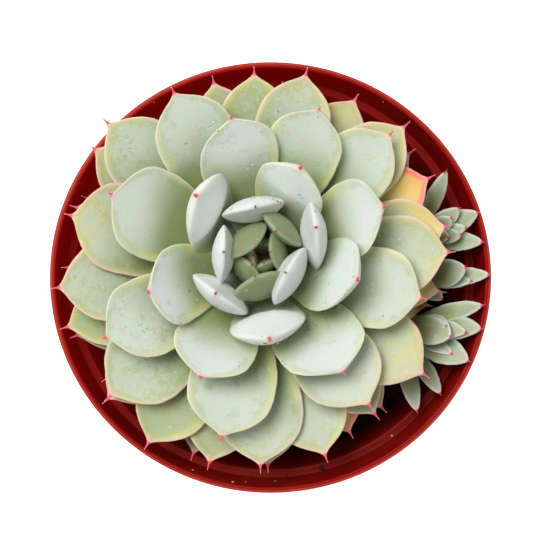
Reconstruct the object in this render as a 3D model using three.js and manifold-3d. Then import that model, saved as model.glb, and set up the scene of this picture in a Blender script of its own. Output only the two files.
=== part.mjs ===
// A potted prism echeveria: one main rosette and three small offsets in a round plastic nursery pot.
// Millimetres, +Z up. The origin is on the surface that the pot stands on, under the middle of the rim.
// Azimuths are counted from +X towards +Y, as seen from above.

import * as THREE from 'three'
import { mergeVertices } from 'three/addons/utils/BufferGeometryUtils.js'
import Module from 'manifold-3d'

const wasm = await Module()
wasm.setup()

// Pot
const RIM_HEIGHT = 105
const RIM_RADIUS = 60
const LIP_WIDTH = 1.6
const BAND_DEPTH = 13
const BAND_SKIRT = 1.2 // the rim band hangs this far below the ledge inside
const BAND_TAPER = 0.4 // and is this much narrower at its foot
const BAND_LEAN = 0.7 // its inner face leans in this much
const LEDGE_RADIUS = 55.4
const WALL = 1.4
const FOOT_RADIUS = 42
const FOOT_RING = 4.5
const FLOOR_RISE = 1.2
const CORNER = 0.6 // how far the pot's corners are taken off
const POT_SIDES = 56
const SQUEEZE = 0.0118 // a soft pot is this much wider along X and narrower along Y
const DRAIN_HOLES = 6
const DRAIN_DIAMETER = 9
const DRAIN_CIRCLE = 29
const DRAIN_SIDES = 16
const DRAIN_CUTTER = 8 // longer than the floor is thick

// Soil
const SOIL_TOP = 79
const SOIL_SIDES = 40
const SOIL_SHOULDER = 1 // the soil is this much lower at the wall
const SOIL_RINGS = [0.96, 0.84, 0.7, 0.54, 0.36, 0.18] // shares of the radius
const HUMP_HEIGHT = 0.9
const HUMP_RATE = 0.2 // radians per millimetre
const CLOD_HEIGHT = 0.55
const CLOD_RATE = 0.6
const GAP = 0.3 // between solids that touch

// Stems: where the axis leaves the soil and where it ends, and the radius at both
const MAIN_STEM = { foot: [-5.6, 1.2, 84], top: [-2.9, 4.9, 113], radii: [5.4, 3.2] }
const STEM_IN_SOIL = 14
const STEM_SIDES = 12

// The crown, which the main leaves are measured from
const CROWN = [-2.7, 5.2]
const TOP_LEAF_BASE = 8 // above the rim
const LEAF_BASE_DROP = 24
const BASE_DROP_POWER = 0.75
const ROOT_OFFSET = { least: 0.6, most: 2.2, perReach: 0.1 } // from the stem's axis

// Leaf form. Stations run from root to tip: share of the length, of the width and of the thickness.
const SPREAD_STATIONS = [
  [0, 0.4, 0.6],
  [0.45, 0.81, 1],
  [0.72, 1, 0.93],
  [0.82, 0.89, 0.8],
  [0.91, 0.54, 0.5],
  [0.96, 0.18, 0.26],
  [1, 0.03, 0.08],
]
const UPRIGHT_STATIONS = [
  [0, 0.4, 0.6],
  [0.45, 0.83, 1],
  [0.72, 1, 0.93],
  [0.82, 0.91, 0.8],
  [0.91, 0.6, 0.52],
  [0.96, 0.24, 0.28],
  [1, 0.04, 0.08],
]
const OFFSET_STATIONS = [
  [0, 0.42, 0.6],
  [0.3, 0.8, 0.9],
  [0.55, 1, 1],
  [0.75, 0.85, 0.85],
  [0.9, 0.45, 0.5],
  [1, 0.05, 0.1],
]
const REACH_ALL_SPREAD = 30 // main leaves that reach this far have the spread form
const REACH_ALL_UPRIGHT = 12
const BACK_SPREAD = 0.2 // depth of the leaf's back below its midrib, of the width
const BACK_UPRIGHT = 0.15
const EDGE_LIFT_SPREAD = 0.16 // how far the margins turn up, of the half width
const EDGE_LIFT_UPRIGHT = 0.06
const MARGIN = 0.6 // thickness of a leaf's edge, and the least width of its spine

// Young leaves are thickest near the end, where the inner face rises to a crest across the leaf
const REACH_NO_CREST = 28
const REACH_FULL_CREST = 23
const CREST_HEIGHT = 0.24 // of the width
const CREST_AT = 0.72 // of the length
const CREST_ROOT = 0.22 // what is left of the crest at the root
const CREST_POWER = 3
const FACE_HEIGHT = 0.03 // height of a leaf's face with no crest, of the width

// The midrib: a leaf turns up this much more at its root than at its end, by no more than these turns
const ELBOW = 1.8
const LEAST_TURN = THREE.MathUtils.degToRad(1.5)
const MOST_TURN = THREE.MathUtils.degToRad(44)

// Offset leaves are part upright, with a low crest
const OFFSET_PLUMPNESS = 0.55
const OFFSET_CREST = 0.35

// Main leaves, from the heart outwards: azimuth of the tip seen from the crown and its reach, tip height
// above the rim, width, lean of the leaf's end from level, and how far its face turns from that azimuth.
const HEART = [
  [75, 2.6, 13.5, 9, 116, 0],
  [292, 2.4, 14, 8, 118, 0],
  [195, 1.8, 15, 9, 120, 0],
  [10, 2.2, 17, 11, 124, 0],
  [232, 3.4, 16.3, 12, 124, -8],
  [140, 1.6, 20, 13.5, 128, -8],
  [255, 6, 20, 15.5, 122, 38],
  [56, 6.4, 21, 14, 122, -10],
  [321, 8, 22, 17, 110, 10],
]
const CUP = [
  [179, 9.2, 21.5, 15, 104, -2],
  [96, 11.6, 22, 17, 102, 6],
  [222, 15.4, 21, 17.5, 98, 12],
  [25, 15.6, 21.5, 17.5, 98, -18],
  [276, 22.5, 19.5, 20, 78, 5],
  [138, 22.6, 20, 20, 76, 16],
]
const SECOND_TURN = [
  [65, 25, 18.5, 19.5, 60, -8],
  [345, 26.6, 18.5, 20.5, 56, -9],
  [199, 31.5, 16.5, 20.5, 42, -10],
  [244, 36.6, 15, 21.5, 36, 4],
  [305, 38.6, 14.5, 23, 34, -6],
  [21, 35.6, 15, 20.5, 36, -12],
  [102, 37.8, 14, 21, 34, 6],
]
const THIRD_TURN = [
  [158, 43.8, 12, 24, 24, 0],
  [68, 43, 11.5, 20, 24, 0],
  [258, 50.8, 10.5, 23.5, 22, 0],
  [345, 45.5, 11, 21.5, 22, 0],
  [208, 48, 10, 21.5, 20, 0],
  [306, 50.7, 9.5, 22.5, 20, 0],
  [118, 51.2, 9, 21.5, 20, 0],
  [43, 49.3, 9, 20, 18, 0],
]
const FOURTH_TURN = [
  [1, 52.3, 8, 21.5, 18, 0],
  [324, 56.1, 6.5, 21, 16, 0],
  [168, 54, 7, 24, 16, 0],
  [223, 57.3, 5.5, 23, 16, 0],
  [270, 58.4, 5, 23, 16, 0],
  [76, 52.8, 6, 20, 16, 0],
  [139, 56.9, 7, 21, 16, 0],
  [189, 57, 7, 21, 14, 0],
  [288, 58.6, 3.5, 20.5, 14, 0],
  [42, 54.7, 5, 19.5, 14, 0],
  [9, 52.6, 5.5, 20, 14, 0],
  [92, 52, 3.5, 19, 12, 0],
]
const LOWEST_TURN = [
  [239, 61.3, 2, 20.5, 12, 0],
  [306, 55, 2, 17, 12, 0],
  [59, 52.4, 1.5, 18, 12, 0],
  [256, 60, 0, 19, 10, 0],
  [147, 56.2, 2.8, 18, 10, 0],
  [25, 52.6, 3, 19, 10, 0],
  [200, 58.2, 2, 18, 10, 0],
  [223, 59, 1, 20, 10, 0],
  [165, 54.2, 1.6, 19, 10, 0],
  [272, 59.2, -1, 20, 8, 0],
  [105, 51.6, 1.6, 17, 8, 0],
  [297, 56, -2, 17, 8, 0],
  [35, 52.4, -1.5, 17, 8, 0],
  [183, 55.3, -2, 17, 8, 0],
  [130, 51.4, -3, 17, 6, 0],
  [309, 55.5, -4, 15, 6, 0],
  [203, 57.4, -3, 17, 6, 0],
  [349, 51.8, 1.5, 13, 8, 0],
  [83, 49.8, -4, 17, 5, 0],
  [251, 59.8, -6, 15, 5, 0],
  [218, 56.4, -6, 16, 4, 0],
  [161, 53.3, -5, 16, 4, 0],
  [344, 48.5, -1.5, 12, 8, 0],
]

// Offset rosettes: the stem, then leaves as above, with azimuth and reach from the stem's top
const OFFSET_STEM_RADII = [2.6, 2.2]
const OFFSET_BASE_STEP = 0.06 // of the stem's length, from one leaf to the next
const OFFSETS = [
  {
    name: 'pup_1',
    foot: [37, 9, 84],
    top: [44.5, 12, 95],
    leaves: [
      [36, 6.6, 1.5, 4.6, 50, 0],
      [-18, 4.8, 0.5, 4, 50, 0],
      [-7, 8.1, 1.5, 4.4, 42, 8],
      [7, 9.6, 1.5, 4, 40, 0],
      [41, 10, 2, 5, 42, 0],
      [23, 13.7, 2.6, 6.4, 34, 0],
      [-12, 14.2, 2.6, 5.4, 34, 4],
      [76, 18.1, -1, 4.8, 26, 0],
      [120, 9, -6, 4.5, 30, 0],
      [-70, 8, -7, 4.5, 30, 0],
    ],
  },
  {
    name: 'pup_2',
    foot: [34, -2, 84],
    top: [42.5, -1, 94],
    leaves: [
      [16, 11.4, 3, 7.6, 48, 0],
      [22, 10.6, -0.5, 5, 34, 6],
      [-2, 13.2, 0.5, 4, 34, 0],
      [4, 17.7, 3.2, 5, 32, -8],
      [-45, 8, -5, 4.5, 30, 0],
      [75, 7, -6, 4.5, 30, 0],
    ],
  },
  {
    name: 'pup_3',
    foot: [34, -22, 84],
    top: [39.5, -12, 94],
    leaves: [
      [-12, 9.1, 1.5, 4, 52, 0],
      [-26, 10.8, 3, 8.8, 50, 0],
      [-14, 14.8, 2, 5, 38, 0],
      [12, 19.3, 2.6, 5, 32, -10],
      [-8, 18.6, 2.6, 7, 32, -6],
      [-42, 14.4, 0, 4.2, 34, 0],
      [-38, 18.7, 2.6, 8, 30, 6],
      [-70, 22.5, -3, 5, 20, 0],
      [-87, 26.2, -5, 5.2, 16, 12],
      [150, 7, -7, 4.5, 30, 0],
    ],
  },
]

// Finishes
const PLASTIC = { color: 0xa63a2c, roughness: 0.5, metalness: 0 }
const SOIL = { color: 0x2a1c14, roughness: 0.95, metalness: 0 }
const LEAF = { color: 0xbccbb8, roughness: 0.6, metalness: 0 }
const OFFSET_LEAF = { color: 0xa3b79f, roughness: 0.6, metalness: 0 }

// Solids and meshes

function solidOf(geometry) {
  const bare = geometry.index ? geometry.toNonIndexed() : geometry.clone()
  bare.deleteAttribute('normal')
  bare.deleteAttribute('uv')
  const merged = mergeVertices(bare, 1e-4)
  const index = merged.index.array
  const corners = []
  for (let i = 0; i < index.length; i += 3) {
    const [a, b, c] = [index[i], index[i + 1], index[i + 2]]
    if (a !== b && b !== c && c !== a) corners.push(a, b, c)
  }
  return new wasm.Manifold(new wasm.Mesh({
    numProp: 3,
    vertProperties: new Float32Array(merged.attributes.position.array),
    triVerts: new Uint32Array(corners),
  }))
}

function geometryOf(solid) {
  const mesh = solid.getMesh()
  const geometry = new THREE.BufferGeometry()
  geometry.setAttribute('position', new THREE.BufferAttribute(mesh.vertProperties, 3))
  geometry.setIndex(new THREE.BufferAttribute(mesh.triVerts, 1))
  geometry.computeVertexNormals()
  return geometry
}

function meshOf(name, solid, finish) {
  const mesh = new THREE.Mesh(geometryOf(solid), new THREE.MeshStandardMaterial(finish))
  mesh.name = name
  return mesh
}

// The largest body of a solid: this drops loose scraps and fills a hollow that fusing has sealed.
function largestBody(solid) {
  const bodies = solid.decompose()
  return bodies.reduce((best, body) => (body.volume() > best.volume() ? body : best))
}

// Profiles are turned about the Z axis.
function lathe(profile, sides) {
  const points = profile.map(([radius, height]) => new THREE.Vector2(radius, height))
  return new THREE.LatheGeometry(points, sides).rotateX(Math.PI / 2)
}

function squeeze(geometry) {
  return geometry.scale(1 + SQUEEZE, 1 - SQUEEZE, 1)
}

// Leaves

function elbowOf(root, tip, facing, lean) {
  const run = tip.clone().sub(root)
  const along = run.dot(facing)
  const chordPitch = Math.atan2(run.z, along)
  const chord = Math.hypot(run.z, along)
  const wanted = THREE.MathUtils.degToRad(lean) - chordPitch
  const turn = THREE.MathUtils.clamp(wanted, LEAST_TURN, MOST_TURN)
  const firstLeg = (chord * Math.sin(turn)) / Math.sin((1 + ELBOW) * turn)
  const startPitch = chordPitch - ELBOW * turn
  const sideways = run.clone().addScaledVector(facing, -along).setZ(0).multiplyScalar(0.5)
  return root.clone()
    .addScaledVector(facing, firstLeg * Math.cos(startPitch))
    .add(new THREE.Vector3(0, 0, firstLeg * Math.sin(startPitch)))
    .add(sideways)
}

// The curve's own parameter at a share of its length, when it is taken as two straight legs.
function parameterAt(share, firstLeg, secondLeg) {
  const spread = secondLeg ** 2 - firstLeg ** 2
  return ((firstLeg + secondLeg) * share) / (firstLeg + Math.sqrt(firstLeg ** 2 + spread * share))
}

// One ring of a leaf: the upper face from margin to margin, then the lower face back again.
const UPPER_ACROSS = [-1, -0.5, 0.5, 1]
const LOWER_ACROSS = [1, 0.45, -0.45, -1]

function leafRing(centre, side, normal, halfWidth, heights) {
  const edge = MARGIN / 2
  const reach = Math.max(halfWidth, edge)
  const place = (across, height) => centre.clone()
    .addScaledVector(side, across * reach)
    .addScaledVector(normal, height + heights.lift * across ** 2)
  const upper = UPPER_ACROSS.map((across) => place(across, heights.face * (1 - across ** 2) + edge))
  const lower = LOWER_ACROSS.map((across) => place(across, -heights.back * (1 - across ** 2) - edge))
  return [...upper, ...lower]
}

function closedLoft(rings) {
  const sides = rings[0].length
  const position = rings.flat().flatMap((point) => [point.x, point.y, point.z])
  const index = []
  for (let ring = 0; ring < rings.length - 1; ring++) {
    for (let i = 0; i < sides; i++) {
      const a = ring * sides + i
      const b = ring * sides + ((i + 1) % sides)
      index.push(a, a + sides, b, b, a + sides, b + sides)
    }
  }
  const last = (rings.length - 1) * sides
  for (let i = 1; i < sides - 1; i++) {
    index.push(0, i, i + 1)
    index.push(last, last + i + 1, last + i)
  }
  const geometry = new THREE.BufferGeometry()
  geometry.setAttribute('position', new THREE.Float32BufferAttribute(position, 3))
  geometry.setIndex(index)
  return geometry
}

function mix(low, high, share) {
  return low + (high - low) * share
}

function crestShare(share) {
  if (share > CREST_AT) return (1 - share) / (1 - CREST_AT)
  return mix(CREST_ROOT, 1, (share / CREST_AT) ** CREST_POWER)
}

function leafSolid(root, tip, facingAngle, width, lean, form) {
  const facing = new THREE.Vector3(Math.cos(facingAngle), Math.sin(facingAngle), 0)
  const side = new THREE.Vector3(-facing.y, facing.x, 0)
  const elbow = elbowOf(root, tip, facing, lean)
  const midrib = new THREE.QuadraticBezierCurve3(root, elbow, tip)
  const firstLeg = root.distanceTo(elbow)
  const secondLeg = elbow.distanceTo(tip)
  const fullFace = width * mix(FACE_HEIGHT, CREST_HEIGHT, form.crest)
  const fullBack = width * mix(BACK_SPREAD, BACK_UPRIGHT, form.plumpness)
  const edgeLift = mix(EDGE_LIFT_SPREAD, EDGE_LIFT_UPRIGHT, form.plumpness)
  const rings = form.stations.map(([share, widthShare, thicknessShare]) => {
    const t = parameterAt(share, firstLeg, secondLeg)
    const tangent = midrib.getTangent(t)
    const pitch = Math.atan2(tangent.z, tangent.dot(facing))
    const normal = facing.clone().multiplyScalar(-Math.sin(pitch)).setZ(Math.cos(pitch))
    const halfWidth = (widthShare * width) / 2
    return leafRing(midrib.getPoint(t), side, normal, halfWidth, {
      face: fullFace * mix(thicknessShare, crestShare(share), form.crest),
      back: fullBack * thicknessShare,
      lift: edgeLift * halfWidth,
    })
  })
  return solidOf(closedLoft(rings))
}

// How far a reach lies from one limit towards the other.
function shareBetween(reach, none, full) {
  return THREE.MathUtils.clamp((none - reach) / (none - full), 0, 1)
}

// The form of a main leaf goes from spread to upright as its reach shortens.
function formFor(reach) {
  const plumpness = shareBetween(reach, REACH_ALL_SPREAD, REACH_ALL_UPRIGHT)
  const stations = SPREAD_STATIONS.map((spread, i) =>
    spread.map((value, column) => mix(value, UPRIGHT_STATIONS[i][column], plumpness)))
  return { plumpness, stations, crest: shareBetween(reach, REACH_NO_CREST, REACH_FULL_CREST) }
}

function pointOnAxis(foot, top, height) {
  const share = (height - foot[2]) / (top[2] - foot[2])
  return new THREE.Vector3(...foot).lerp(new THREE.Vector3(...top), share)
}

// Stems

function stemSolid({ foot, top, radii }, extra = 0) {
  const lowest = pointOnAxis(foot, top, foot[2] - STEM_IN_SOIL - extra)
  const highest = new THREE.Vector3(...top)
  const length = lowest.distanceTo(highest)
  const [below, above] = radii.map((radius) => radius + extra)
  const geometry = new THREE.CylinderGeometry(above, below, length, STEM_SIDES)
  const axis = highest.clone().sub(lowest).normalize()
  const turn = new THREE.Quaternion().setFromUnitVectors(new THREE.Vector3(0, 1, 0), axis)
  const middle = lowest.lerp(highest, 0.5)
  geometry.applyQuaternion(turn).translate(middle.x, middle.y, middle.z)
  return solidOf(geometry)
}

// Rosettes

function mainLeaves() {
  const rows = [...HEART, ...CUP, ...SECOND_TURN, ...THIRD_TURN, ...FOURTH_TURN, ...LOWEST_TURN]
  return rows.map(([azimuth, reach, tipHeight, width, lean, turned], i) => {
    const toTip = THREE.MathUtils.degToRad(azimuth)
    const facingAngle = THREE.MathUtils.degToRad(azimuth + turned)
    const down = LEAF_BASE_DROP * (i / (rows.length - 1)) ** BASE_DROP_POWER
    const root = pointOnAxis(MAIN_STEM.foot, MAIN_STEM.top, RIM_HEIGHT + TOP_LEAF_BASE - down)
    const offset = Math.min(ROOT_OFFSET.most, ROOT_OFFSET.least + ROOT_OFFSET.perReach * reach)
    root.x += offset * Math.cos(facingAngle)
    root.y += offset * Math.sin(facingAngle)
    const tip = new THREE.Vector3(
      CROWN[0] + reach * Math.cos(toTip),
      CROWN[1] + reach * Math.sin(toTip),
      RIM_HEIGHT + tipHeight,
    )
    return leafSolid(root, tip, facingAngle, width, lean, formFor(reach))
  })
}

function offsetLeaves({ foot, top, leaves }) {
  const form = { plumpness: OFFSET_PLUMPNESS, crest: OFFSET_CREST, stations: OFFSET_STATIONS }
  return leaves.map(([azimuth, reach, tipHeight, width, lean, turned], i) => {
    const toTip = THREE.MathUtils.degToRad(azimuth)
    const facingAngle = THREE.MathUtils.degToRad(azimuth + turned)
    const root = new THREE.Vector3(...top).lerp(new THREE.Vector3(...foot), OFFSET_BASE_STEP * i)
    const tip = new THREE.Vector3(
      top[0] + reach * Math.cos(toTip),
      top[1] + reach * Math.sin(toTip),
      RIM_HEIGHT + tipHeight,
    )
    return leafSolid(root, tip, facingAngle, width, lean, form)
  })
}

// Pot and soil

function innerRadiusAt(height) {
  const floorTop = FLOOR_RISE + WALL
  const share = (height - floorTop) / (RIM_HEIGHT - BAND_DEPTH - floorTop)
  return mix(FOOT_RADIUS - WALL, LEDGE_RADIUS, share)
}

function potSolid() {
  const ledge = RIM_HEIGHT - BAND_DEPTH
  const skirt = ledge - BAND_SKIRT
  const bandFoot = RIM_RADIUS - BAND_TAPER
  const lipInner = RIM_RADIUS - LIP_WIDTH
  const profile = [
    [0, FLOOR_RISE],
    [FOOT_RADIUS - FOOT_RING - CORNER, FLOOR_RISE],
    [FOOT_RADIUS - FOOT_RING, 0],
    [FOOT_RADIUS, 0],
    [FOOT_RADIUS + CORNER, CORNER],
    [LEDGE_RADIUS + WALL, skirt - CORNER / 2],
    [bandFoot - CORNER, skirt],
    [bandFoot, skirt + CORNER],
    [RIM_RADIUS, RIM_HEIGHT - CORNER],
    [RIM_RADIUS - CORNER, RIM_HEIGHT],
    [lipInner + CORNER / 2, RIM_HEIGHT],
    [lipInner, RIM_HEIGHT - CORNER],
    [lipInner - BAND_LEAN, ledge + CORNER],
    [LEDGE_RADIUS, ledge],
    [FOOT_RADIUS - WALL, FLOOR_RISE + WALL],
    [0, FLOOR_RISE + WALL],
  ]
  const shell = solidOf(squeeze(lathe(profile, POT_SIDES)))
  const radius = DRAIN_DIAMETER / 2
  const holes = Array.from({ length: DRAIN_HOLES }, (_, i) => {
    const angle = (2 * Math.PI * i) / DRAIN_HOLES
    const hole = new THREE.CylinderGeometry(radius, radius, DRAIN_CUTTER, DRAIN_SIDES)
    hole.rotateX(Math.PI / 2)
    hole.translate(DRAIN_CIRCLE * Math.cos(angle), DRAIN_CIRCLE * Math.sin(angle), FLOOR_RISE)
    return solidOf(hole)
  })
  return shell.subtract(wasm.Manifold.union(holes))
}

// Low humps with smaller clods on them.
function soilRelief(x, y) {
  const hump = Math.sin(HUMP_RATE * x) * Math.cos(HUMP_RATE * y)
  const clod = Math.sin(CLOD_RATE * (x - y)) * Math.cos(CLOD_RATE * y)
  return HUMP_HEIGHT * hump + CLOD_HEIGHT * clod
}

function soilSolid(stems) {
  const bottom = FLOOR_RISE + WALL + GAP
  const outer = innerRadiusAt(SOIL_TOP) - GAP
  const profile = [
    [0, bottom],
    [innerRadiusAt(bottom) - GAP, bottom],
    [outer, SOIL_TOP - SOIL_SHOULDER],
    ...SOIL_RINGS.map((share) => [share * outer, SOIL_TOP]),
    [0, SOIL_TOP],
  ]
  const geometry = squeeze(lathe(profile, SOIL_SIDES))
  const position = geometry.attributes.position
  for (let i = 0; i < position.count; i++) {
    if (position.getZ(i) < SOIL_TOP - SOIL_SHOULDER / 2) continue
    position.setZ(i, SOIL_TOP + soilRelief(position.getX(i), position.getY(i)))
  }
  const holes = stems.map((stem) => stemSolid(stem, GAP))
  return solidOf(geometry).subtract(wasm.Manifold.union(holes))
}

// The assembly

const offsets = OFFSETS.map((offset) => ({ ...offset, radii: OFFSET_STEM_RADII }))
const mainRosette = largestBody(wasm.Manifold.union([stemSolid(MAIN_STEM), ...mainLeaves()]))

const plant = new THREE.Group()
plant.add(meshOf('pot', potSolid(), PLASTIC))
plant.add(meshOf('soil', soilSolid([MAIN_STEM, ...offsets]), SOIL))
plant.add(meshOf('main_rosette', mainRosette, LEAF))
for (const offset of offsets) {
  const rosette = largestBody(wasm.Manifold.union([stemSolid(offset), ...offsetLeaves(offset)]))
  plant.add(meshOf(offset.name, rosette, OFFSET_LEAF))
}

export default plant
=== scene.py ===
# %% [markdown]
# A potted echeveria: one rosette of pale, pointed leaves in a round plastic pot, with three small offset
# rosettes growing at its side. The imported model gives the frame, and this lesson gives it its looks.

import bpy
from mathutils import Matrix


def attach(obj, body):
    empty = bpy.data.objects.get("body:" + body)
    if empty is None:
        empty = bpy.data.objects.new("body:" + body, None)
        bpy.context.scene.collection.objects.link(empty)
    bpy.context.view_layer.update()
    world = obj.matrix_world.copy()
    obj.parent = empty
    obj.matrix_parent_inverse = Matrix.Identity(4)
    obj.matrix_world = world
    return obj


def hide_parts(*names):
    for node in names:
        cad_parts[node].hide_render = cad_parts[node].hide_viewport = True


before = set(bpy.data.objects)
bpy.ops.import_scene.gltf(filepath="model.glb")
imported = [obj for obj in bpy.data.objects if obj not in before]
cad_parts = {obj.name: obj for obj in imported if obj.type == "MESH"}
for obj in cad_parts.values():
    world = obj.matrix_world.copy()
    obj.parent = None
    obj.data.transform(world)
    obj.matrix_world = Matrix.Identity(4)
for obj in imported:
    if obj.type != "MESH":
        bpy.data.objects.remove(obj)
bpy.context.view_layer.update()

# %% Modules and units
import math
import random

import bmesh
import bpy
import numpy as np
from mathutils import Vector, noise
from mathutils.bvhtree import BVHTree

MM = 0.001
UP = Vector((0, 0, 1))
scene = bpy.context.scene


def colour(red, green, blue):
    """A colour given from 0 to 255, as a paint program shows it, made linear for a shader."""
    shares = [value / 255 for value in (red, green, blue)]
    return (*[s / 12.92 if s <= 0.04045 else ((s + 0.055) / 1.055) ** 2.4 for s in shares], 1)


# %% [markdown]
# The camera looks almost straight down, from a hand's length above the leaves. From so near, high leaves
# look larger than low ones, so its distance matters as much as its angle. The lens is given in pixels of a
# square picture, which Blender wants as millimetres on a 36 mm sensor.

# %% Camera
PICTURE_SIDE = 533
FOCAL_LENGTH = 1092  # pixels
SENSOR = 36
CAMERA_AIM = Vector((-1.1, 2.5, 105)) * MM
CAMERA_DISTANCE = 300 * MM
CAMERA_TILT = math.radians(2.5)

camera_data = bpy.data.cameras.new("camera")
camera_data.sensor_width = SENSOR
camera_data.lens = SENSOR * FOCAL_LENGTH / PICTURE_SIDE
camera_data.clip_start = 10 * MM
camera = bpy.data.objects.new("camera", camera_data)
scene.collection.objects.link(camera)
back = Vector((0, -math.sin(CAMERA_TILT), math.cos(CAMERA_TILT)))
camera.location = CAMERA_AIM + back * CAMERA_DISTANCE
camera.rotation_mode = "QUATERNION"
camera.rotation_quaternion = (-back).to_track_quat("-Z", "Y")
scene.camera = camera
print("camera", round(CAMERA_DISTANCE / MM), "mm above the rim, lens", round(camera_data.lens, 1), "mm")

# %% [markdown]
# Soft studio light: one large panel high on the left, a weaker one opposite, and an even white sky. The
# large panel gives each leaf a soft shadow, and the sky keeps those shadows open.

# %% Light
KEY_PLACE = Vector((-0.30, 0.26, 0.76))
KEY_SIZE = 0.45
KEY_POWER = 5.3
FILL_PLACE = Vector((0.5, -0.3, 0.6))
FILL_SIZE = 0.6
FILL_POWER = 0.9
SKY_STRENGTH = 0.30


def panel_light(name, place, size, power):
    light = bpy.data.lights.new(name, "AREA")
    light.energy = power
    light.size = size
    lamp = bpy.data.objects.new(name, light)
    scene.collection.objects.link(lamp)
    lamp.location = place
    lamp.rotation_euler = (CAMERA_AIM - place).to_track_quat("-Z", "Y").to_euler()


panel_light("key_light", KEY_PLACE, KEY_SIZE, KEY_POWER)
panel_light("fill_light", FILL_PLACE, FILL_SIZE, FILL_POWER)
sky = bpy.data.worlds.new("sky")
sky.use_nodes = True
background = sky.node_tree.nodes["Background"]
background.inputs["Color"].default_value = (1, 1, 1, 1)
background.inputs["Strength"].default_value = SKY_STRENGTH
scene.world = sky
scene.view_settings.view_transform = "Standard"

# %% [markdown]
# Node trees are formulas. Written by hand, each plus and times is a node to add and two links to draw. The
# small class below lets a line such as `a * 2 + b` draw those nodes by itself, in a material and in a
# geometry tree alike.

# %% Formulas that draw nodes
NUMBER_RESULTS = ("DOT_PRODUCT", "LENGTH", "DISTANCE")


def join(socket, value):
    """Links a formula or an output to a socket, or sets the socket to a plain value."""
    if isinstance(value, Formula):
        value = value.socket
    if isinstance(value, bpy.types.NodeSocket):
        socket.id_data.links.new(value, socket)
    else:
        socket.default_value = value


def add_node(tree, kind, values=None, **settings):
    node = tree.nodes.new(kind)
    for name, setting in settings.items():
        setattr(node, name, setting)
    for name, value in (values or {}).items():
        join(node.inputs[name], value)
    return node


class Formula:
    """A value in a node tree. Its sums and products are new nodes of the same tree."""

    def __init__(self, socket):
        self.socket = socket
        self.tree = socket.id_data

    def math(self, operation, *others):
        values = dict(enumerate((self, *others)))
        return Formula(add_node(self.tree, "ShaderNodeMath", values, operation=operation).outputs[0])

    def vector(self, operation, other=None):
        node = add_node(self.tree, "ShaderNodeVectorMath", {0: self}, operation=operation)
        if other is not None:
            join(node.inputs["Scale" if operation == "SCALE" else 1], other)
        return Formula(node.outputs["Value" if operation in NUMBER_RESULTS else "Vector"])

    def plus(self, direction, length):
        """This vector and another one, made as long as length says."""
        return self.vector("ADD", direction.vector("SCALE", length))

    def part(self, axis):
        return Formula(add_node(self.tree, "ShaderNodeSeparateXYZ", {0: self}).outputs[axis])

    def clamp(self):
        return self.math("MAXIMUM", 0).math("MINIMUM", 1)

    def __add__(self, other):
        return self.math("ADD", other)

    def __sub__(self, other):
        return self.math("SUBTRACT", other)

    def __rsub__(self, other):
        return self.math("MULTIPLY", -1).math("ADD", other)

    def __mul__(self, other):
        return self.math("MULTIPLY", other)

    def __truediv__(self, other):
        return self.math("DIVIDE", other)

    def __pow__(self, other):
        return self.math("POWER", other)

    __radd__ = __add__
    __rmul__ = __mul__


# %% Steps, curves and noise


def blend(low, high, share):
    """low where share is 0, high where it is 1."""
    return share * (high - low) + low


def rise(value, low, high):
    """A soft step: 0 up to low, 1 from high on."""
    node = add_node(value.tree, "ShaderNodeMapRange", {"Value": value, "From Min": low, "From Max": high},
                    interpolation_type="SMOOTHSTEP")
    return Formula(node.outputs["Result"])


def curve_of(value, points):
    """A smooth curve through points of (value, result)."""
    node = add_node(value.tree, "ShaderNodeFloatCurve", {"Value": value})
    curve = node.mapping.curves[0]
    for _ in points[2:]:
        curve.points.new(0.5, 0.5)
    for point, place in zip(curve.points, points):
        point.location = place
        point.handle_type = "AUTO_CLAMPED"
    node.mapping.update()
    return Formula(node.outputs["Value"])


def three(x, y, z, tree):
    """One vector of three numbers or formulas."""
    return Formula(add_node(tree, "ShaderNodeCombineXYZ", {0: x, 1: y, 2: z}).outputs[0])


def noise_of(place, scale, detail=2.0, roughness=0.5):
    """Smooth noise, about 0.5 on average."""
    node = add_node(place.tree, "ShaderNodeTexNoise",
                    {"Vector": place, "Scale": scale, "Detail": detail, "Roughness": roughness})
    return Formula(node.outputs[0])


# %% [markdown]
# Materials are formulas too. Each finish starts from the Principled shader. What is the same all over is
# set on its sockets, and what changes from place to place is a formula of the object's own coordinates or
# of attributes that the mesh carries.

# %% Tools for finishes


def feed(shader, **sockets):
    """Sets or links the sockets of a shader."""
    for socket, value in sockets.items():
        join(shader.inputs[socket.replace("_", " ")], value)


def new_finish(name, **sockets):
    """A material with its Principled shader, and its Object coordinates in metres."""
    material = bpy.data.materials.new(name)
    material.use_nodes = True
    shader = material.node_tree.nodes["Principled BSDF"]
    feed(shader, **sockets)
    place = Formula(add_node(material.node_tree, "ShaderNodeTexCoord").outputs["Object"])
    return material, shader, place


def paint(under, over, share):
    """The colour over laid on the colour under, as much as share says."""
    node = add_node(share.tree, "ShaderNodeMix", data_type="RGBA")
    join(node.inputs[0], share)
    join(node.inputs[6], under)
    join(node.inputs[7], over)
    return Formula(node.outputs[2])


def carried(tree, names):
    """Numbers that the mesh carries as attributes, one for each of the names."""
    return [Formula(add_node(tree, "ShaderNodeAttribute", attribute_name=name).outputs["Fac"])
            for name in names.split()]


def raise_bumps(shader, height, depth):
    """Bumps of that depth, in metres, where height goes from 0 to 1."""
    node = add_node(height.tree, "ShaderNodeBump", {"Height": height, "Distance": depth})
    feed(shader, Normal=node.outputs["Normal"])


# %% [markdown]
# The floor is a plain white sheet that glows a little, so that it stays pale in the pot's own shadow.

# %% Floor
FLOOR_SIDE = 4
FLOOR_WHITE = 0.9
FLOOR_GLOW = 0.8


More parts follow.
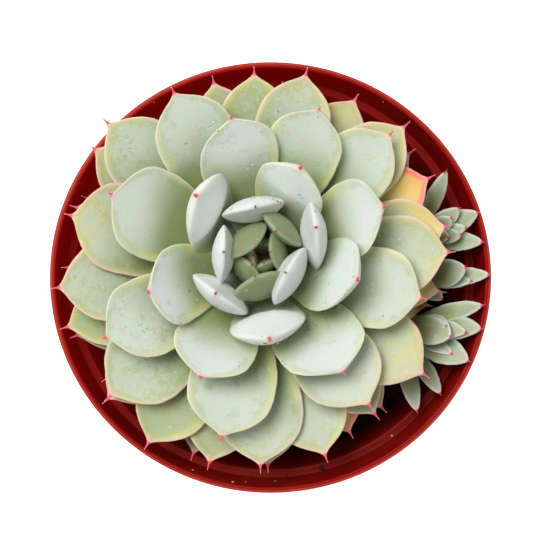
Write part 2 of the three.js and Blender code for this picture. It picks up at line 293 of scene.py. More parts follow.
def mesh_object(name, vertices, faces, smooth=True):
    mesh = bpy.data.meshes.new(name)
    mesh.from_pydata([tuple(vertex) for vertex in vertices], [], [tuple(face) for face in faces])
    mesh.polygons.foreach_set("use_smooth", [smooth] * len(mesh.polygons))
    mesh.update()
    made = bpy.data.objects.new(name, mesh)
    scene.collection.objects.link(made)
    return made


half = FLOOR_SIDE / 2
corners = [(-half, -half, 0), (half, -half, 0), (half, half, 0), (-half, half, 0)]
floor = mesh_object("floor", corners, [(0, 1, 2, 3)], smooth=False)
floor_paint = new_finish("floor_paint", Base_Color=(FLOOR_WHITE, FLOOR_WHITE, FLOOR_WHITE, 1), Roughness=0.9,
                         Emission_Color=(1, 1, 1, 1), Emission_Strength=FLOOR_GLOW)[0]
floor.data.materials.append(floor_paint)
print("floor:", FLOOR_SIDE, "m wide")

# %% [markdown]
# The pot is one thin shell of moulded plastic, turned round its axis: a foot ring, a tapered wall, and a
# rim band that stands out, which leaves a ledge inside. A turned profile is the plain way to make it. Its
# sharp corners are softened first, because a moulded edge is never sharp and its highlight shows that.

# %% Pot sizes, in millimetres
RIM_HEIGHT = 105
RIM_RADIUS = 60
LIP_WIDTH = 1.6
BAND_DEPTH = 13
BAND_SKIRT = 1.2
BAND_TAPER = 0.4
BAND_LEAN = 0.7
LEDGE_RADIUS = 55.4
WALL = 1.4
FOOT_RADIUS = 42
FOOT_RING = 4.5
FLOOR_RISE = 1.2
SQUEEZE = 0.0118
DRAIN_HOLES = 6
DRAIN_DIAMETER = 9
DRAIN_CIRCLE = 29
DRAIN_SIDES = 48
POT_SIDES = 200
CORNER_RADIUS = 0.5
CORNER_STEPS = 4
SHARP_ANGLE = math.radians(40)
print("pot:", RIM_HEIGHT, "mm high,", 2 * RIM_RADIUS, "mm across its rim")

# %% Tools for turned solids


def softened(profile, radius, steps):
    """The same profile with each inner corner rounded by a short curve."""
    points = [Vector(point) for point in profile]
    rounded = [points[0]]
    for before, corner, after in zip(points, points[1:], points[2:]):
        into = before - corner
        out = after - corner
        start = corner + into.normalized() * min(radius, into.length / 2)
        end = corner + out.normalized() * min(radius, out.length / 2)
        for step in range(steps + 1):
            t = step / steps
            rounded.append(start * (1 - t) ** 2 + corner * 2 * t * (1 - t) + end * t ** 2)
    return rounded + [points[-1]]


def tube_faces(rings, sides):
    """The faces between rings of points, where each ring has as many points as sides."""
    pairs = [(i, (i + 1) % sides) for i in range(sides)]
    return [(low + i, low + j, low + sides + j, low + sides + i)
            for low in range(0, (rings - 1) * sides, sides) for i, j in pairs]


def turned(name, profile, sides):
    """A closed solid: a profile of (radius, height) that starts and ends on the axis, turned round it."""
    rings = [point for point in profile if point[0] > 0]
    angles = [2 * math.pi * i / sides for i in range(sides)]
    vertices = [(r * math.cos(a) * (1 + SQUEEZE), r * math.sin(a) * (1 - SQUEEZE), z)
                for r, z in rings for a in angles]
    faces = tube_faces(len(rings), sides)
    vertices += [(0, 0, profile[0][1]), (0, 0, profile[-1][1])]
    first, last = len(vertices) - 2, len(vertices) - 1
    top = (len(rings) - 1) * sides
    for i in range(sides):
        faces.append((first, (i + 1) % sides, i))
        faces.append((last, top + i, top + (i + 1) % sides))
    return mesh_object(name, np.array(vertices) * MM, faces)


# %% The pot's solid
ledge = RIM_HEIGHT - BAND_DEPTH
pot_profile = [
    (0, FLOOR_RISE),
    (FOOT_RADIUS - FOOT_RING - CORNER_RADIUS, FLOOR_RISE),
    (FOOT_RADIUS - FOOT_RING, 0),
    (FOOT_RADIUS, 0),
    (FOOT_RADIUS + CORNER_RADIUS, CORNER_RADIUS),
    (LEDGE_RADIUS + WALL, ledge - BAND_SKIRT),
    (RIM_RADIUS - BAND_TAPER, ledge - BAND_SKIRT),
    (RIM_RADIUS, RIM_HEIGHT),
    (RIM_RADIUS - LIP_WIDTH, RIM_HEIGHT),
    (RIM_RADIUS - LIP_WIDTH - BAND_LEAN, ledge),
    (LEDGE_RADIUS, ledge),
    (FOOT_RADIUS - WALL, FLOOR_RISE + WALL),
    (0, FLOOR_RISE + WALL),
]
pot = turned("pot_shell", softened(pot_profile, CORNER_RADIUS, CORNER_STEPS), POT_SIDES)
cutters = bmesh.new()
for i in range(DRAIN_HOLES):
    angle = 2 * math.pi * i / DRAIN_HOLES
    made = bmesh.ops.create_cone(cutters, cap_ends=True, segments=DRAIN_SIDES, depth=4 * WALL * MM,
                                 radius1=DRAIN_DIAMETER / 2 * MM, radius2=DRAIN_DIAMETER / 2 * MM)
    centre = Vector((math.cos(angle), math.sin(angle), 0)) * DRAIN_CIRCLE + UP * FLOOR_RISE
    bmesh.ops.translate(cutters, verts=made["verts"], vec=centre * MM)
cutter_mesh = bpy.data.meshes.new("drain_cutters")
cutters.to_mesh(cutter_mesh)
cutters.free()
cutter = bpy.data.objects.new("drain_cutters", cutter_mesh)
scene.collection.objects.link(cutter)


def made_plain(piece):
    """Turns what a piece's modifiers make into its plain mesh."""
    bpy.context.view_layer.update()
    graph = bpy.context.evaluated_depsgraph_get()
    mesh = bpy.data.meshes.new_from_object(piece.evaluated_get(graph), depsgraph=graph)
    piece.modifiers.clear()
    piece.data = mesh
    return piece


drill = pot.modifiers.new("drain holes", "BOOLEAN")
drill.operation = "DIFFERENCE"
drill.object = cutter
made_plain(pot)
bpy.data.objects.remove(cutter)
pot.data.set_sharp_from_angle(angle=SHARP_ANGLE)
print("pot:", len(pot.data.polygons), "faces")

# %% [markdown]
# The plastic is an even brick red with a satin skin. Its inside is painted much darker than the lip, as
# painted shade, with faint rusty stains on it, and is painted paler again under the ledge, as painted light
# that the thin wall lets through. A thin lighter line on the ledge's edge is a painted highlight. Which
# side a point is on follows from its distance to the axis, set against the middle of the wall at its
# height. The inside also glows faintly on the lamp's side, which stands for the light that the thin wall lets
# through there. Faint rings from the mould and a few scuffs keep it from looking new.

# %% Pot plastic
POT_RED = colour(184, 56, 42)
POT_PALE = colour(216, 112, 92)
# The dark inside colours are painted shade; the rusty one adds stains to it.
POT_INSIDE_SHADE = colour(138, 7, 6)
RUSTY_INSIDE_SHADE = colour(146, 34, 8)
# Painted light: the wall under the ledge is painted paler.
LOW_WALL_PAINTED_LIGHT = colour(150, 28, 24)
# A painted highlight along the ledge's inner edge, and its width in millimetres.
LEDGE_PAINTED_HIGHLIGHT = colour(180, 34, 30)
HIGHLIGHT_BAND_WIDTH = 0.35
POT_GLOW = colour(255, 12, 8)
GLOW_STRENGTH = 0.085
GLOW_SIDE = Vector((KEY_PLACE[0], KEY_PLACE[1], 0)).normalized()
GLOW_FROM, GLOW_TO = -0.3, 0.9  # how far towards the lamp, in radii of the rim
INSIDE_ON_LIP = 0.9  # the inner part of the lip that has the colour of the inside
MOULD_RING_RATE = 900  # steps of noise in a metre
SCUFF_RATE = 90
STAIN_RATE = 45
PLASTIC_BUMP = 0.05

plastic, plastic_shader, place = new_finish("pot_plastic", Specular_IOR_Level=0.12,
                                            Emission_Color=POT_GLOW)
height = place.part("Z")
plan = three(place.part("X") / (1 + SQUEEZE), place.part("Y") / (1 - SQUEEZE), 0, height.tree)
from_axis = plan.vector("LENGTH")
wall_foot = (FOOT_RADIUS - WALL / 2) * MM
wall_head = (LEDGE_RADIUS + WALL / 2) * MM
wall_middle = blend(wall_foot, wall_head, height / ((ledge - BAND_SKIRT) * MM))
lip_inside = (RIM_RADIUS - LIP_WIDTH + INSIDE_ON_LIP) * MM
over_ledge = height.math("GREATER_THAN", (ledge - BAND_SKIRT / 2) * MM)
middle_here = blend(wall_middle, lip_inside, over_ledge)
over_floor = height.math("GREATER_THAN", (FLOOR_RISE + WALL / 2) * MM)
is_inside = rise(middle_here - from_axis, -0.1 * MM, 0.2 * MM) * over_floor

mould_rings = noise_of(three(0, 0, height * MOULD_RING_RATE, height.tree), 1.0, 3.0)
scuffs = rise(noise_of(place, SCUFF_RATE, 6.0, 0.65), 0.58, 0.76)
stain = rise(noise_of(place, STAIN_RATE, 4.0, 0.6), 0.35, 0.7)
outside = paint(POT_RED, POT_PALE, scuffs * 0.2)
# The inside is painted dark, as painted shade, with stains on it.
inside = paint(POT_INSIDE_SHADE, RUSTY_INSIDE_SHADE, stain * 0.6)
# The ledge's inner edge gets a thin painted highlight.
ledge_inner = from_axis - (LEDGE_RADIUS + HIGHLIGHT_BAND_WIDTH) * MM
inside = paint(inside, LEDGE_PAINTED_HIGHLIGHT, (1 - rise(ledge_inner, -0.1 * MM, 0.1 * MM)) * 0.7)
# Under the ledge the wall is painted paler, as painted light.
inside = paint(inside, LOW_WALL_PAINTED_LIGHT, 1 - rise(height, (ledge - 2.5) * MM, (ledge - 0.6) * MM))
towards_light = place.vector("DOT_PRODUCT", tuple(GLOW_SIDE / (RIM_RADIUS * MM)))
feed(plastic_shader, Base_Color=paint(outside, inside, is_inside),
     Emission_Strength=rise(towards_light, GLOW_FROM, GLOW_TO) * is_inside * GLOW_STRENGTH,
     Roughness=scuffs * 0.2 + mould_rings * 0.1 + 0.34)
raise_bumps(plastic_shader, mould_rings * 0.5 + scuffs * 0.5, PLASTIC_BUMP * MM)
pot.data.materials.append(plastic)
print("pot plastic:", len(plastic.node_tree.nodes), "nodes")


def settle(piece, slot, *nodes):
    """Puts a finished piece on the part's one body, in place of the CAD nodes that it stands for."""
    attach(piece, "root")
    if nodes:
        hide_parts(*nodes)


settle(pot, "pot_plastic", "pot")

# %% [markdown]
# Potting soil is a low, lumpy bed of peat and bark. From above a rough disc would do, but the bed is a closed
# solid, turned like the pot, so that it fills the pot from any side. Its top follows the CAD model's humps,
# with finer noise on it, and drops a little at the wall. The loose crumbs come next.

# %% Soil bed
SOIL_TOP = 79
SOIL_SHOULDER = 1
GAP = 0.3
HUMP_HEIGHT = 0.9
HUMP_RATE = 0.2
CLOD_HEIGHT = 0.55
CLOD_RATE = 0.6
SOIL_SIDES = 180
SOIL_RINGS = 70
SOIL_ROUGHNESS = 0.7  # height of the fine lumps
SOIL_LUMP = 2.2  # their size
LUMP_NOISE = (0.7, 2.0, 4)  # fading from layer to layer, how much finer each is, and how many
SOIL_EDGE_DROP = 2.2  # how much lower the soil lies at the wall
SOIL_DROP_FROM = 0.8  # of the way out to the wall


def inner_radius(height):
    floor_top = FLOOR_RISE + WALL
    share = (height - floor_top) / (ledge - floor_top)
    return FOOT_RADIUS - WALL + (LEDGE_RADIUS - FOOT_RADIUS + WALL) * share


def soil_height(x, y):
    hump = math.sin(HUMP_RATE * x) * math.cos(HUMP_RATE * y)
    clod = math.sin(CLOD_RATE * (x - y)) * math.cos(CLOD_RATE * y)
    lumps = noise.fractal(Vector((x, y, 0)) / SOIL_LUMP, *LUMP_NOISE)
    way_out = math.hypot(x, y) / inner_radius(SOIL_TOP)
    by_wall = max(0, way_out - SOIL_DROP_FROM) / (1 - SOIL_DROP_FROM)
    raised = HUMP_HEIGHT * hump + CLOD_HEIGHT * clod + SOIL_ROUGHNESS * lumps
    return SOIL_TOP + raised - SOIL_EDGE_DROP * by_wall


soil_outer = inner_radius(SOIL_TOP) - GAP
soil_bottom = FLOOR_RISE + WALL + GAP
soil_profile = [(0, soil_bottom), (inner_radius(soil_bottom) - GAP, soil_bottom),
                (soil_outer, SOIL_TOP - SOIL_SHOULDER - SOIL_EDGE_DROP)]
soil_profile += [(soil_outer * (1 - ring / SOIL_RINGS), SOIL_TOP) for ring in range(1, SOIL_RINGS + 1)]
soil = turned("soil_bed", soil_profile, SOIL_SIDES)
for vertex in soil.data.vertices:
    if vertex.co.z > (SOIL_TOP - SOIL_SHOULDER / 2) * MM:
        vertex.co.z = soil_height(vertex.co.x / MM, vertex.co.y / MM) * MM
soil.data.update()
print("soil:", len(soil.data.vertices), "points on and under its top")

# %% Soil finish
SOIL_DARK = colour(30, 19, 14)
SOIL_BROWN = colour(74, 48, 34)
SOIL_PALE = colour(120, 92, 70)
SOIL_COARSE_RATE = 300
SOIL_FINE_RATE = 1400
SOIL_BUMP = 0.5


def soil_finish(name, darkest, middle, palest):
    finish, shader, place = new_finish(name, Roughness=0.9)
    coarse = noise_of(place, SOIL_COARSE_RATE, 6.0, 0.7)
    fine = noise_of(place, SOIL_FINE_RATE, 4.0, 0.7)
    shade = paint(darkest, middle, rise(coarse, 0.4, 0.7))
    feed(shader, Base_Color=paint(shade, palest, rise(fine, 0.62, 0.78) * 0.5))
    raise_bumps(shader, coarse * 0.6 + fine * 0.4, SOIL_BUMP * MM)
    return finish


peat = soil_finish("peat", SOIL_DARK, SOIL_BROWN, SOIL_PALE)
soil.data.materials.append(peat)
settle(soil, "soil", "soil")
print("soil finish:", len(peat.node_tree.nodes), "nodes")

# %% [markdown]
# Crumbs repeat by the hundred, so Geometry Nodes scatter them: points on the soil, one small ball on each,
# turned and sized at random from a fixed seed. Noise dents the balls once they are real geometry, so no
# two are alike.

# %% Tools for geometry trees
INPUT_KINDS = {float: "NodeSocketFloat", int: "NodeSocketInt", type(None): "NodeSocketMaterial"}


def geometry_tree(name, **inputs):
    """A geometry tree with named inputs, each given by its default. Returns it and its inputs."""
    tree = bpy.data.node_groups.new(name, "GeometryNodeTree")
    tree.is_modifier = True
    tree.interface.new_socket("Geometry", in_out="INPUT", socket_type="NodeSocketGeometry")
    for label, default in inputs.items():
        socket = tree.interface.new_socket(label.replace("_", " "), in_out="INPUT",
                                           socket_type=INPUT_KINDS[type(default)])
        if default is not None:
            socket.default_value = default
    tree.interface.new_socket("Geometry", in_out="OUTPUT", socket_type="NodeSocketGeometry")
    start = tree.nodes.new("NodeGroupInput")
    return tree, {socket.name: Formula(socket) for socket in start.outputs if socket.name}


def step(tree, kind, values=None, **settings):
    """The first output of a new geometry node, whose kind is given without its common beginning."""
    return Formula(add_node(tree, "GeometryNode" + kind, values, **settings).outputs[0])


def end_tree(tree, geometry, material):
    """Makes the instances real, gives them their finish and ends the tree."""
    shaded = step(tree, "SetShadeSmooth", {0: step(tree, "RealizeInstances", {0: geometry})})
    add_node(tree, "NodeGroupOutput", {0: step(tree, "SetMaterial", {0: shaded, "Material": material})})


def grown(name, base, tree, **inputs):
    """Runs a tree on a base mesh and keeps the result as a plain mesh."""
    piece = bpy.data.objects.new(name, base)
    scene.collection.objects.link(piece)
    modifier = piece.modifiers.new("tree", "NODES")
    modifier.node_group = tree
    names = {item.name: item.identifier for item in tree.interface.items_tree if item.in_out == "INPUT"}
    for label, value in inputs.items():
        modifier[names[label.replace("_", " ")]] = value
    return made_plain(piece)


def dented(tree, instances, rate, depth):
    """Makes instances real and moves their points in and out by noise, half the depth each way."""
    push = (noise_of(step(tree, "InputPosition"), rate) - 0.5) * depth
    return step(tree, "SetPosition", {
        "Geometry": step(tree, "RealizeInstances", {0: instances}),
        "Offset": step(tree, "InputNormal").vector("SCALE", push),
    })


# %% A tree that scatters crumbs
LEAST_UPWARD = 0.5  # of a face's normal, so that crumbs lie on the top alone

crumb_tree, crumb = geometry_tree("crumbs", Density=1.0, Seed=1, Smallest=0.2 * MM, Largest=1.0 * MM,
                                  Dents=0.3, Dent_rate=900.0, Material=None)
facing_up = step(crumb_tree, "InputNormal").part("Z").math("GREATER_THAN", LEAST_UPWARD)
spots = step(crumb_tree, "DistributePointsOnFaces", {
    "Mesh": crumb["Geometry"], "Selection": facing_up, "Density": crumb["Density"], "Seed": crumb["Seed"]})
ball = step(crumb_tree, "MeshIcoSphere", {"Radius": 1.0, "Subdivisions": 2})
turn = add_node(crumb_tree, "FunctionNodeRandomValue", {"Seed": crumb["Seed"]}, data_type="FLOAT_VECTOR")
turn.inputs[1].default_value = (2 * math.pi,) * 3
chance = add_node(crumb_tree, "FunctionNodeRandomValue", {"Seed": crumb["Seed"] + 1}, data_type="FLOAT")
size = blend(crumb["Smallest"], crumb["Largest"], Formula(chance.outputs[1]) ** 3) * 0.5
placed = step(crumb_tree, "InstanceOnPoints",
              {"Points": spots, "Instance": ball, "Rotation": turn.outputs[0], "Scale": size})
lumpy = dented(crumb_tree, placed, crumb["Dent rate"], crumb["Dents"] * crumb["Largest"])
end_tree(crumb_tree, lumpy, crumb["Material"])
print("crumb tree:", len(crumb_tree.nodes), "nodes")

# %% Crumbs and pale grains on the soil
GRAIN_PALE = colour(226, 214, 196)
GRAIN_TAN = colour(190, 160, 130)
GRAIN_GREY = colour(150, 140, 130)
CRUMB_DENSITY = 150000.0  # on a square metre
GRAIN_DENSITY = 7000.0

crumbs = grown("soil_crumbs", soil.data.copy(), crumb_tree, Density=CRUMB_DENSITY, Seed=4,
               Smallest=0.5 * MM, Largest=3.4 * MM, Dents=0.5, Material=peat)
pumice = soil_finish("pumice", GRAIN_TAN, GRAIN_PALE, GRAIN_GREY)
grains = grown("pale_grains", soil.data.copy(), crumb_tree, Density=GRAIN_DENSITY, Seed=9,
               Smallest=0.4 * MM, Largest=2.4 * MM, Dents=0.35, Material=pumice)
settle(crumbs, "soil")
settle(grains, "grain")
print("crumbs:", len(crumbs.data.polygons), "faces; grains:", len(grains.data.polygons), "faces")

# %% [markdown]
# Leaves. Each row below is one leaf of the main rosette, from the heart outwards: the azimuth of its tip
# seen from the crown, its reach, its tip's height above the rim, its width, the lean of its end from level,
# and how far its face turns from that azimuth. The sizes are the CAD model's, but for two of the lowest
# leaves that are wider here. A row may end with marks of its own, where a leaf differs from its neighbours:
# how far the sun has flushed it, how much powder it keeps, and how dry its tip is.

# %% Rows of the main rosette
HEART = [
    (75, 2.6, 13.5, 9, 116, 0),
    (292, 2.4, 14, 8, 118, 0),
    (195, 1.8, 15, 9, 120, 0),
    (10, 2.2, 17, 11, 124, 0),
    (232, 3.4, 16.3, 12, 124, -8),
    (140, 1.6, 20, 13.5, 128, -8),
    (255, 6, 20, 15.5, 122, 38),
    (56, 6.4, 21, 14, 122, -10),
]
CUP = [
    (321, 8, 22, 17, 110, 10),
    (179, 9.2, 21.5, 15, 104, -2),
    (96, 11.6, 22, 17, 102, 6),
    (222, 15.4, 21, 17.5, 98, 12),
    (25, 15.6, 21.5, 17.5, 98, -18),
    (276, 22.5, 19.5, 20, 78, 5),
    (138, 22.6, 20, 20, 76, 16),
]
SECOND_TURN = [
    (65, 25, 18.5, 19.5, 60, -8),
    (345, 26.6, 18.5, 20.5, 56, -9),
    (199, 31.5, 16.5, 20.5, 42, -10),
    (244, 36.6, 15, 21.5, 36, 4),
    (305, 38.6, 14.5, 23, 34, -6),
    (21, 35.6, 15, 20.5, 36, -12),
    (102, 37.8, 14, 21, 34, 6),
]
THIRD_TURN = [
    (158, 43.8, 12, 24, 24, 0),
    (68, 43, 11.5, 20, 24, 0),
    (258, 50.8, 10.5, 23.5, 22, 0),
    (345, 45.5, 11, 21.5, 22, 0, {"flush": 0.2}),
    (208, 48, 10, 21.5, 20, 0),
    (306, 50.7, 9.5, 22.5, 20, 0, {"flush": 0.3}),
    (118, 51.2, 9, 21.5, 20, 0),
    (43, 49.3, 9, 20, 18, 0, {"flush": 0.22}),
]
FOURTH_TURN = [
    (1, 52.3, 8, 21.5, 18, 0, {"flush": 0.32}),
    (324, 56.1, 6.5, 21, 16, 0, {"flush": 0.42}),
    (168, 54, 7, 24, 16, 0, {"flush": 0.35}),
    (223, 57.3, 5.5, 23, 16, 0),
    (270, 58.4, 5, 23, 16, 0),
    (76, 52.8, 6, 20, 16, 0),
    (139, 56.9, 7, 21, 16, 0),
    (189, 57, 7, 21, 14, 0),
    (288, 58.6, 3.5, 20.5, 14, 0),
    (42, 54.7, 5, 19.5, 14, 0, {"flush": 0.3}),
    (9, 52.6, 5.5, 20, 14, 0, {"flush": 0.55, "bloom": 0.4}),
    (92, 52, 3.5, 19, 12, 0, {"bloom": 0.3}),
]
LOWEST_TURN = [
    (239, 61.3, 2, 20.5, 12, 0),
    (306, 55, 2, 17, 12, 0),
    (59, 52.4, 1.5, 18, 12, 0, {"flush": 0.38, "bloom": 0.3}),
    (256, 60, 0, 19, 10, 0),
    (147, 56.2, 2.8, 18, 10, 0, {"flush": 0.3, "bloom": 0.3}),
    (25, 52.6, 3, 19, 10, 0, {"flush": 0.94}),
    (200, 58.2, 2, 18, 10, 0, {"bloom": 0.2}),
    (223, 59, 1, 20, 10, 0),
    (165, 54.2, 1.6, 19, 10, 0),
    (272, 59.2, -1, 20, 8, 0),
    (105, 51.6, 1.6, 17, 8, 0, {"bloom": 0.25}),
    (297, 56, -2, 19, 8, 0, {"flush": 0.85, "bloom": 0.5}),
    (35, 52.4, -1.5, 17, 8, 0),
    (183, 55.3, -2, 17, 8, 0),
    (130, 51.4, -3, 17, 6, 0),
    (309, 55.5, -4, 15, 6, 0),
    (203, 57.4, -3, 17, 6, 0),
    (349, 51.8, 1.5, 13, 8, 0, {"flush": 0.45, "dry": 0.6, "bloom": 0.1}),
    (83, 49.8, -4, 17, 5, 0),
    (251, 59.8, -6, 15, 5, 0, {"bloom": 0.1, "dry": 0.3}),
    (218, 56.4, -6, 16, 4, 0),
    (161, 53.3, -5, 16, 4, 0),
    (344, 49.5, -1.5, 17, 8, 0, {"dry": 1.0, "bloom": 0.0}),
]
TURNS = [HEART, CUP, SECOND_TURN, THIRD_TURN, FOURTH_TURN, LOWEST_TURN]
# The little powder of the heart and of the lowest turn is partly painted shade, which leaves them darker.
TURN_BLOOM_AND_SHADE = [0.08, 1.0, 0.92, 0.8, 0.56, 0.15]  # how much pale powder the leaves of each turn keep
TURN_FLUSH = [0.0, 0.0, 0.03, 0.15, 0.25, 0.25]
print("main rosette:", sum(len(turn) for turn in TURNS), "leaves")

# %% [markdown]
# A leaf follows a midrib that turns up more at its root than at its end. Each leaf becomes one point that
# carries its midrib's three control points, the way it faces, its width and its form.

# %% Where leaves grow, in millimetres
CROWN = Vector((-2.7, 5.2, 0))
MAIN_STEM = {"foot": Vector((-5.6, 1.2, 84)), "top": Vector((-2.9, 4.9, 113)), "radii": (5.4, 3.2)}
STEM_IN_SOIL = 14
TOP_LEAF_BASE = 8
LEAF_BASE_DROP = 24
BASE_DROP_POWER = 0.75
ROOT_OFFSET_LEAST = 0.6
ROOT_OFFSET_MOST = 2.2
ROOT_OFFSET_PER_REACH = 0.1
ELBOW = 1.8
LEAST_TURN = math.radians(1.5)
MOST_TURN = math.radians(44)
MOST_BLUNT = 0.5
# In each pair: the reach at which a leaf has none of it, and the reach at which it has all.
PLUMP_REACH = (30, 12)
BLUNT_REACH = (53, 42)
CREST_REACH = (28, 23)


def level(azimuth):
    """The level direction of an azimuth in degrees."""
    return Vector((math.cos(math.radians(azimuth)), math.sin(math.radians(azimuth)), 0))


def share_between(reach, none, full):
    """How much a leaf of that reach has: nothing at none, 1 at full."""
    return min(1, max(0, (none - reach) / (none - full)))


def elbow_of(root, tip, facing, lean):
    """The midrib's middle control point, which makes the leaf end at its own lean."""
    run = tip - root
    along = run.dot(facing)
    chord_pitch = math.atan2(run.z, along)
    chord = math.hypot(run.z, along)
    turn = min(MOST_TURN, max(LEAST_TURN, math.radians(lean) - chord_pitch))
    first_leg = chord * math.sin(turn) / math.sin((1 + ELBOW) * turn)
    start_pitch = chord_pitch - ELBOW * turn
    sideways = run - facing * along
    sideways.z = 0
    rise_and_run = facing * math.cos(start_pitch) + UP * math.sin(start_pitch)
    return root + rise_and_run * first_leg + sideways / 2


# %% One point for each leaf


def leaf_point(base, off_axis, centre, row, **form):
    """What one leaf's point carries, in metres. The leaf grows from off_axis beside base on its stem."""
    azimuth, reach, tip_height, width, lean, turn = row[:6]
    facing = level(azimuth + turn)
    root = base + facing * off_axis
    tip = Vector((centre.x, centre.y, RIM_HEIGHT + tip_height)) + level(azimuth) * reach
    return {"root": root * MM, "elbow": elbow_of(root, tip, facing, lean) * MM, "tip": tip * MM,
            "facing": facing, "width": width * MM, **form}


def on_axis(foot, top, height):
    return foot.lerp(top, (height - foot.z) / (top.z - foot.z))


def main_leaf_points():
    count = sum(len(turn) for turn in TURNS)
    rows = [(turn, row) for turn, rows in enumerate(TURNS) for row in rows]
    for number, (turn, row) in enumerate(rows):
        reach = row[1]
        drop = LEAF_BASE_DROP * (number / (count - 1)) ** BASE_DROP_POWER
        base = on_axis(MAIN_STEM["foot"], MAIN_STEM["top"], RIM_HEIGHT + TOP_LEAF_BASE - drop)
        off_axis = min(ROOT_OFFSET_MOST, ROOT_OFFSET_LEAST + ROOT_OFFSET_PER_REACH * reach)
        marks = row[6] if len(row) > 6 else {}
        yield leaf_point(base, off_axis, CROWN, row, number=number, slender=0.0,
                         plump=share_between(reach, *PLUMP_REACH),
                         crest=share_between(reach, *CREST_REACH),
                         blunt=MOST_BLUNT * share_between(reach, *BLUNT_REACH),
                         bloom=marks.get("bloom", TURN_BLOOM_AND_SHADE[turn]),
                         flush=marks.get("flush", TURN_FLUSH[turn]), dry=marks.get("dry", 0.0))


def point_mesh(name, points):
    """A mesh of loose points, each with the same attributes."""
    mesh = bpy.data.meshes.new(name)
    mesh.from_pydata([tuple(point["root"]) for point in points], [], [])
    for label, value in points[0].items():
        kind, field = ("FLOAT_VECTOR", "vector") if isinstance(value, Vector) else ("FLOAT", "value")
        values = np.array([point[label] for point in points], float).ravel()
        mesh.attributes.new(label, kind, "POINT").data.foreach_set(field, values)
    return mesh


main_points = list(main_leaf_points())
print("points carry:", ", ".join(main_points[0]))

# %% [markdown]
# The leaf itself is a rule, so one geometry tree makes every leaf. It puts a plain closed tube on each
# point and then moves the tube's points: along the midrib by their height on the tube, across the leaf by
# their angle round it. Curves give the width and the thickness. Young leaves rise to a crest across their
# inner face, which is what makes them look like pale lenses from above.

# %% Leaf form
SPREAD_WIDTH = [(0, 0.40), (0.30, 0.60), (0.48, 0.84), (0.60, 0.965), (0.70, 1.0), (0.78, 0.94),
                (0.84, 0.79), (0.885, 0.57), (0.915, 0.35), (0.935, 0.17), (0.95, 0.07), (0.965, 0.02),
                (1.0, 0.0)]
BLUNT_WIDTH = [(0, 0.40), (0.30, 0.60), (0.48, 0.84), (0.60, 0.96), (0.70, 1.0), (0.79, 0.985),
               (0.85, 0.90), (0.89, 0.755), (0.92, 0.57), (0.94, 0.38), (0.955, 0.18), (0.967, 0.05),
               (0.98, 0.01), (1.0, 0.0)]
UPRIGHT_WIDTH = [(0, 0.40), (0.30, 0.62), (0.48, 0.87), (0.60, 0.97), (0.70, 1.0), (0.78, 0.96),
                 (0.86, 0.80), (0.91, 0.60), (0.945, 0.34), (0.965, 0.14), (0.98, 0.03), (1.0, 0.0)]
SLENDER_WIDTH = [(0, 0.42), (0.15, 0.55), (0.38, 0.86), (0.52, 0.99), (0.60, 1.0), (0.72, 0.90),
                 (0.83, 0.66), (0.91, 0.38), (0.95, 0.16), (0.975, 0.04), (1.0, 0.0)]
THICKNESS = [(0, 0.6), (0.2, 0.85), (0.45, 1.0), (0.65, 0.98), (0.8, 0.84), (0.9, 0.56), (0.95, 0.32),
             (0.975, 0.16), (1.0, 0.05)]
LEAF_SIDES = 24
LEAF_RINGS = 44
TIP_DENSITY = 0.6  # how much closer the rings stand at the tip

leaf_tree, leaf = geometry_tree(
    "leaves", Sides=LEAF_SIDES, Rings=LEAF_RINGS, Edge_thickness=0.4 * MM, Crest_height=0.24,
    Crest_place=0.72, Crest_root=0.22, Face_height=0.03, Spread_back=0.20, Upright_back=0.15,
    Spread_lift=0.16, Upright_lift=0.06, Spine_half_width=0.3 * MM, Spine_point=0.06 * MM,
    Dents=0.5 * MM, Ripple=0.05, Fine_ripple=0.5 * MM, Material=None)
print("leaf inputs:", ", ".join(leaf))


def named(tree, names, kind="FLOAT"):
    """The attributes of those names, as formulas."""
    return [step(tree, "InputNamedAttribute", {"Name": name}, data_type=kind) for name in names.split()]


def stored(geometry, **values):
    """The geometry with more numbers stored on each of its points."""
    for name, value in values.items():
        geometry = step(value.tree, "StoreNamedAttribute", {"Geometry": geometry, "Name": name, "Value": value},
                        data_type="FLOAT", domain="POINT")
    return geometry


# %% Leaf tree: the tube, and each point's place on it
tube = step(leaf_tree, "MeshCylinder",
            {"Vertices": leaf["Sides"], "Side Segments": leaf["Rings"], "Radius": 1.0, "Depth": 1.0})
on_tube = step(leaf_tree, "InputPosition")
blank = stored(tube, height=on_tube.part("Z") + 0.5, across=on_tube.part("X"), upper=on_tube.part("Y"))
instances = step(leaf_tree, "InstanceOnPoints", {"Points": leaf["Geometry"], "Instance": blank})
tubes = step(leaf_tree, "RealizeInstances", {0: instances})

height_share, across, upper, number, width = named(leaf_tree, "height across upper number width")
plump, blunt, slender, crest = named(leaf_tree, "plump blunt slender crest")
facing, root, elbow, tip = named(leaf_tree, "facing root elbow tip", "FLOAT_VECTOR")
along = height_share * (1 + TIP_DENSITY) - height_share * height_share * TIP_DENSITY
print("a leaf's tube has", LEAF_SIDES, "sides and", LEAF_RINGS, "steps")

